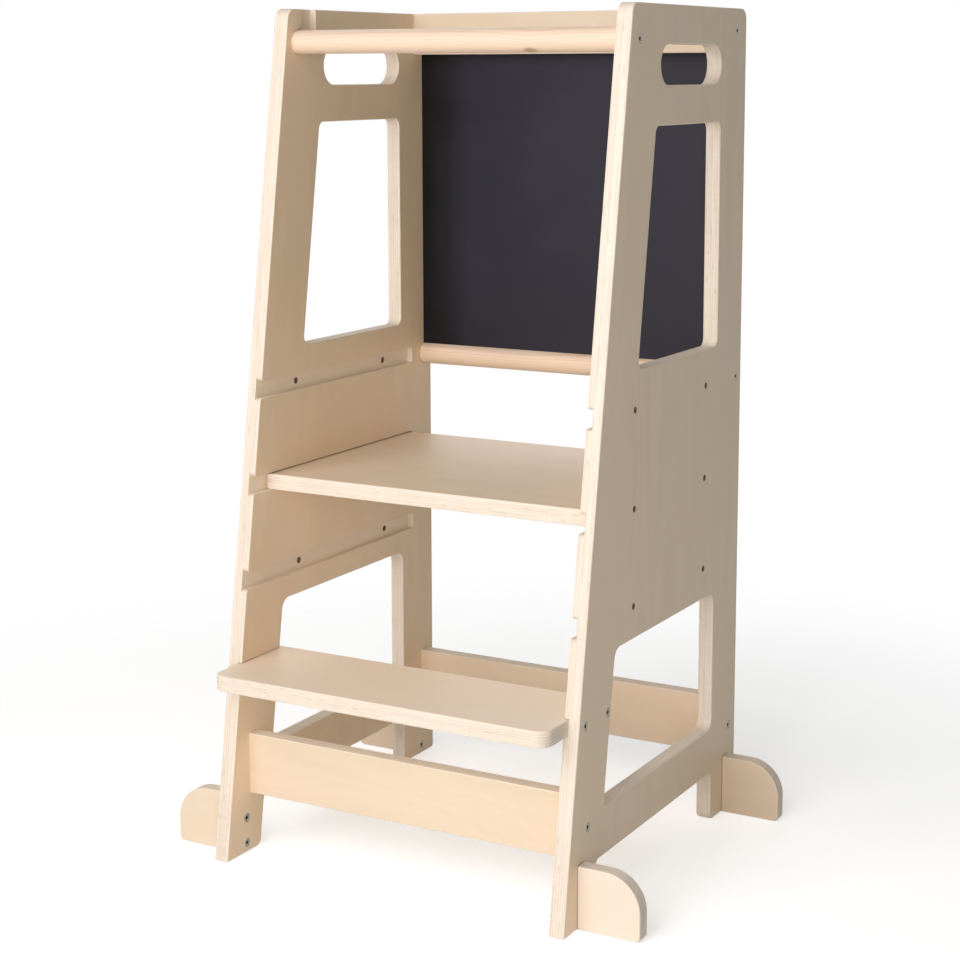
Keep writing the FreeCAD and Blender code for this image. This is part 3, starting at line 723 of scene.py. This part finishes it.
def solids_along_x(node, apart):
    """Each pin or screw of a node as (start x, end x, y, z), where a screw starts at its head.

    Points on the same side of the stool that lie less than apart from each other are one solid's.
    """
    clusters = []
    for vertex in frame["nodes"][node].data.vertices:
        x, y, z = vertex.co
        for cluster in clusters:
            first = cluster[0]
            if (first[0] > 0) == (x > 0) and math.hypot(y - first[1], z - first[2]) < apart:
                cluster.append((x, y, z))
                break
        else:
            clusters.append([(x, y, z)])
    found = []
    for cluster in clusters:
        xs, ys, zs = zip(*cluster)
        y = (min(ys) + max(ys)) / 2
        z = (min(zs) + max(zs)) / 2
        widest = max(cluster, key=lambda point: math.hypot(point[1] - y, point[2] - z))[0]
        if abs(widest - min(xs)) < abs(widest - max(xs)):
            found.append((min(xs), max(xs), y, z))
        else:
            found.append((max(xs), min(xs), y, z))
    return found


def skin_rings(mesh, rings):
    """Joins rings of vertices, all of one count, with quads and closes both ends."""
    count = len(rings[0])
    for ring, following in zip(rings, rings[1:]):
        for step in range(count):
            after = (step + 1) % count
            mesh.faces.new((ring[step], ring[after], following[after], following[step]))
    mesh.faces.new(reversed(rings[0]))
    mesh.faces.new(rings[-1])


def ring_of(mesh, x, radius_at, count):
    """A ring of vertices round the X axis, whose radius may differ with the turn."""
    ring = []
    for step in range(count):
        turn = 2 * math.pi * step / count
        radius = radius_at(turn)
        ring.append(mesh.verts.new((x, radius * math.cos(turn), radius * math.sin(turn))))
    return ring


def hexagon(width):
    """Radius of a hexagon of that width across its flats, by turn."""
    def radius(turn):
        within = (turn + math.pi / 6) % (math.pi / 3) - math.pi / 6
        return width / 2 / math.cos(within)
    return radius


def round_of(radius):
    """The same radius at every turn."""
    return lambda turn: radius


def screw_mesh(sizes):
    """One screw along +X with the top of its head at X = 0: socket, head, shank, thread and tip."""
    mesh = bmesh.new()
    count = 24  # corners of a ring: a multiple of the hexagon's
    head = sizes.head_diameter / 2
    shank = sizes.shank_diameter / 2
    core = sizes.core_diameter / 2
    crest = sizes.thread_diameter / 2
    bevel = 0.0002
    hollow = sizes.socket_width
    thread_start = sizes.shank_end + shank - core
    socket = [
        (sizes.socket_depth + hollow * 0.12, round_of(hollow * 0.04)),  # tip of the drill's cone
        (sizes.socket_depth, round_of(hollow * 0.42)),  # its rim
        (sizes.socket_depth, hexagon(hollow)),
        (bevel, hexagon(hollow)),
        (0.0, hexagon(hollow + 2 * bevel)),
    ]
    outside = [
        (0.0, round_of(head - bevel)),
        (bevel, round_of(head)),
        (sizes.rim, round_of(head)),
        (sizes.rim + head - shank, round_of(shank)),
        (sizes.shank_end, round_of(shank)),
        (thread_start, round_of(core)),
    ]
    steps_per_turn = 8  # of the thread
    thread_end = sizes.length - sizes.tip
    steps = int((thread_end - thread_start) / sizes.pitch * steps_per_turn)

    def thread_radius(x):
        fade = min(1.0, (x - thread_start) / sizes.pitch, (thread_end - x) / sizes.pitch)

        def radius(turn):
            phase = (x / sizes.pitch - turn / (2 * math.pi)) % 1.0
            ridge = max(0.0, 1.0 - abs(phase - 0.5) * 4.0)  # takes up half of the pitch
            return core + (crest - core) * ridge * max(0.0, fade)
        return radius

    for step in range(1, steps + 1):
        x = thread_start + (thread_end - thread_start) * step / steps
        outside.append((x, thread_radius(x)))
    outside.append((sizes.length, round_of(core * 0.35)))
    rings = [ring_of(mesh, x, radius_at, count) for x, radius_at in socket + outside]
    skin_rings(mesh, rings)
    for face in mesh.faces:
        middle = face.calc_center_median()
        in_hexagon = math.hypot(middle.y, middle.z) < hollow * 0.45 and middle.x > 2 * bevel
        # Faces at the socket's bottom take the second material, which paints shade there.
        face.material_index = 1 if in_hexagon and middle.x < thread_start else 0
    bmesh.ops.recalc_face_normals(mesh, faces=mesh.faces)
    return mesh


def pin_mesh(sizes, pin_length, radius):
    """One fluted pin along +X from X = 0."""
    mesh = bmesh.new()
    count = sizes.flutes * 6

    def fluted(size):
        def at(turn):
            wave = abs(math.sin(turn * sizes.flutes / 2))
            return size - sizes.flute_depth * (1.0 - wave) ** 2
        return at

    taper = sizes.end_taper
    profile = [
        (0.0, round_of(radius - taper)),
        (taper * 0.4, fluted(radius - taper * 0.4)),
        (taper, fluted(radius)),
        (pin_length / 2, fluted(radius)),
        (pin_length - taper, fluted(radius)),
        (pin_length - taper * 0.4, fluted(radius - taper * 0.4)),
        (pin_length, round_of(radius - taper)),
    ]
    skin_rings(mesh, [ring_of(mesh, x, radius_at, count) for x, radius_at in profile])
    bmesh.ops.recalc_face_normals(mesh, faces=mesh.faces)
    return mesh


def copies_object(name, pattern, places, materials, sharp_above):
    """One object made of copies of a pattern mesh, each moved to its place."""
    data = bpy.data.meshes.new(name)
    whole = bmesh.new()
    single = bpy.data.meshes.new(f"{name}_pattern")
    pattern.to_mesh(single)
    for place in places:
        copy = single.copy()
        copy.transform(place)
        whole.from_mesh(copy)
        bpy.data.meshes.remove(copy)
    bpy.data.meshes.remove(single)
    for face in whole.faces:
        face.smooth = True
    for edge in whole.edges:
        if edge.is_manifold and edge.calc_face_angle() > sharp_above:
            edge.smooth = False
    whole.to_mesh(data)
    whole.free()
    for material in materials:
        data.materials.append(material)
    piece = bpy.data.objects.new(name, data)
    bpy.context.scene.collection.objects.link(piece)
    return piece


def stand_for(piece, node, body="frame"):
    """The piece replaces a node of the frame and rides on a body."""
    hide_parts(node)
    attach(piece, body)


# ---- Operators ----
class STOOL_OT_finish_boards(Operator):
    """Give every plywood board its veneer, its layers at the edges and its bare routed floors"""

    bl_idname = "stool.finish_boards"
    bl_label = "Finish the plywood boards"

    def execute(self, context):
        finish = context.scene.stool_boards
        for seed, node in enumerate(BOARDS, start=1):
            dress(node, plywood_material(node, seed, finish))
        return {"FINISHED"}


class STOOL_OT_finish_dowels(Operator):
    """Give the safety rail and the dowel under the chalkboard their softwood"""

    bl_idname = "stool.finish_dowels"
    bl_label = "Finish the dowels"

    def execute(self, context):
        finish = context.scene.stool_dowels
        for node, seed in DOWELS.items():
            dress(node, dowel_material(node, seed, finish))
        return {"FINISHED"}


class STOOL_OT_finish_chalkboard(Operator):
    """Paint the chalkboard"""

    bl_idname = "stool.finish_chalkboard"
    bl_label = "Paint the chalkboard"

    def execute(self, context):
        dress("chalkboard", chalkboard_material(context.scene.stool_chalkboard))
        return {"FINISHED"}


class STOOL_OT_build_screws(Operator):
    """Build the connecting screws with their sockets and threads"""

    bl_idname = "stool.build_screws"
    bl_label = "Build the screws"

    def execute(self, context):
        sizes = context.scene.stool_screws
        pattern = screw_mesh(sizes)
        materials = [steel_material(sizes), socket_shade_material(sizes)]
        turns = random.Random(SCREW_SEED)
        for node in SCREW_NODES:
            places = []
            for start, end, y, z in solids_along_x(node, SCREWS_APART * sizes.head_diameter):
                facing = Matrix.Identity(4) if end > start else Matrix.Rotation(math.pi, 4, "Z")
                turn = Matrix.Rotation(turns.uniform(0, math.pi / 3), 4, "X")
                places.append(Matrix.Translation((start, y, z)) @ facing @ turn)
            piece = copies_object(f"threaded_{node}", pattern, places, materials, SHARP_STEEL)
            stand_for(piece, node)
        pattern.free()
        return {"FINISHED"}


class STOOL_OT_build_pins(Operator):
    """Build the fluted pins that keep the boards from turning"""

    bl_idname = "stool.build_pins"
    bl_label = "Build the locating pins"

    def execute(self, context):
        sizes = context.scene.stool_pins
        material = pin_material(sizes)
        for node in PIN_NODES:
            found = solids_along_x(node, PINS_APART)
            start, end, y, z = found[0]
            heights = [vertex.co.z for vertex in frame["nodes"][node].data.vertices]
            radius = max(height for height in heights if abs(height - z) < PINS_APART) - z
            pattern = pin_mesh(sizes, abs(end - start), radius)
            places = [Matrix.Translation((min(start, end), y, z)) for start, end, y, z in found]
            piece = copies_object(f"fluted_{node}", pattern, places, [material], SHARP_WOOD)
            stand_for(piece, node)
            pattern.free()
        return {"FINISHED"}


def floor_material(stage):
    """Pale floor that keeps the shadow near the stool and fades out into the background."""
    material = bpy.data.materials.new("Pale floor")
    build = empty_nodes(material)
    matt = build.add("ShaderNodeBsdfDiffuse", {"Color": stage.floor})
    seen = build.seen()
    lift = build.add("ShaderNodeEmission", {"Strength": build.times(seen, stage.floor_lift)})
    lit = build.add("ShaderNodeAddShader")
    build.feed(lit.inputs[0], matt.outputs["BSDF"])
    build.feed(lit.inputs[1], lift.outputs["Emission"])
    away = build.vector_math("LENGTH", build.place())
    faded = build.times(build.ramp(away, stage.floor_clear, stage.floor_faded), seen)
    under = build.add("ShaderNodeNewGeometry").outputs["Backfacing"]
    clear = build.add("ShaderNodeBsdfTransparent").outputs["BSDF"]
    surface = build.blend(build.math("MAXIMUM", faded, under), lit.outputs["Shader"], clear)
    build.add("ShaderNodeOutputMaterial", {"Surface": surface})
    return material


def aimed(place, target):
    """Matrix of a lamp at a place, turned to a target."""
    direction = Vector(target) - Vector(place)
    return Matrix.Translation(place) @ direction.to_track_quat("-Z", "Y").to_matrix().to_4x4()


class STOOL_OT_set_stage(Operator):
    """Set the floor, the soft light all round, the lamps and the camera"""

    bl_idname = "stool.set_stage"
    bl_label = "Set the stage"

    def execute(self, context):
        stage = context.scene.stool_stage
        self.lay_floor(context, stage)
        self.light_world(context, stage)
        for name in ("key", "low", "rear"):
            self.hang_lamp(context, stage, name)
        self.place_camera(context, stage)
        context.scene.view_settings.view_transform = "Standard"
        return {"FINISHED"}

    def lay_floor(self, context, stage):
        mesh = bmesh.new()
        bmesh.ops.create_circle(mesh, cap_ends=True, segments=96, radius=stage.floor_radius)
        data = bpy.data.meshes.new("floor")
        mesh.to_mesh(data)
        mesh.free()
        data.materials.append(floor_material(stage))
        floor = bpy.data.objects.new("floor", data)
        floor.location.z = -FLOOR_DROP
        context.scene.collection.objects.link(floor)

    def light_world(self, context, stage):
        world = bpy.data.worlds.new("Studio")
        build = empty_nodes(world)
        around = build.add("ShaderNodeBackground", {"Color": stage.fill, "Strength": stage.fill_level})
        white = build.add("ShaderNodeBackground", {"Color": (1.0, 1.0, 1.0), "Strength": 1.0})
        surface = build.blend(build.seen(), around.outputs["Background"], white.outputs["Background"])
        build.add("ShaderNodeOutputWorld", {"Surface": surface})
        context.scene.world = world

    def hang_lamp(self, context, stage, name):
        lamp = bpy.data.lights.new(name.capitalize(), "AREA")
        lamp.shape = "SQUARE"
        lamp.size = getattr(stage, f"{name}_size")
        lamp.energy = getattr(stage, f"{name}_power")
        lamp.color = getattr(stage, name)
        hung = bpy.data.objects.new(name.capitalize(), lamp)
        hung.matrix_world = aimed(getattr(stage, f"{name}_place"), stage.aim)
        hung.visible_camera = False
        context.scene.collection.objects.link(hung)

    def place_camera(self, context, stage):
        data = bpy.data.cameras.new("Camera")
        data.lens = stage.camera_lens
        data.sensor_width = SENSOR_WIDTH
        data.shift_y = stage.camera_rise
        data.dof.use_dof = False
        camera = bpy.data.objects.new("Camera", data)
        turn = Matrix.Rotation(stage.camera_turn, 4, "Z")
        tilt = Matrix.Rotation(math.pi / 2 - stage.camera_tilt, 4, "X")
        roll = Matrix.Rotation(stage.camera_roll, 4, "Z")
        camera.matrix_world = Matrix.Translation(stage.camera_place) @ turn @ tilt @ roll
        context.scene.collection.objects.link(camera)
        context.scene.camera = camera


class STOOL_PT_build(Panel):
    """Lists the stool's operators with their sizes and colours"""

    bl_idname = "STOOL_PT_build"
    bl_label = "Kitchen helper stool"
    bl_space_type = "VIEW_3D"
    bl_region_type = "UI"
    bl_category = "Stool"

    def draw(self, context):
        for operator, settings in STEPS:
            box = self.layout.box()
            box.operator(operator.bl_idname)
            group = getattr(context.scene, settings)
            for name in group.bl_rna.properties.keys():
                if name not in ("name", "rna_type"):
                    box.prop(group, name)


SETTINGS = {
    "stool_boards": BoardFinish,
    "stool_dowels": DowelFinish,
    "stool_chalkboard": ChalkboardFinish,
    "stool_screws": ScrewSizes,
    "stool_pins": PinSizes,
    "stool_stage": StageSettings,
}
STEPS = [
    (STOOL_OT_set_stage, "stool_stage"),
    (STOOL_OT_finish_boards, "stool_boards"),
    (STOOL_OT_finish_dowels, "stool_dowels"),
    (STOOL_OT_finish_chalkboard, "stool_chalkboard"),
    (STOOL_OT_build_screws, "stool_screws"),
    (STOOL_OT_build_pins, "stool_pins"),
]


def register():
    """Adds the properties, the operators and the panel to Blender."""
    for name, group in SETTINGS.items():
        bpy.utils.register_class(group)
        setattr(bpy.types.Scene, name, PointerProperty(type=group))
    for operator, _ in STEPS:
        bpy.utils.register_class(operator)
    bpy.utils.register_class(STOOL_PT_build)


def unregister():
    """Takes away all that register adds."""
    bpy.utils.unregister_class(STOOL_PT_build)
    for operator, _ in reversed(STEPS):
        bpy.utils.unregister_class(operator)
    for name, group in reversed(SETTINGS.items()):
        delattr(bpy.types.Scene, name)
        bpy.utils.unregister_class(group)


def main():
    """Builds everything."""
    register()
    bpy.ops.stool.set_stage()
    bpy.ops.stool.finish_boards()
    bpy.ops.stool.finish_dowels()
    bpy.ops.stool.finish_chalkboard()
    bpy.ops.stool.build_screws()
    bpy.ops.stool.build_pins()


if __name__ == "__main__":
    main()
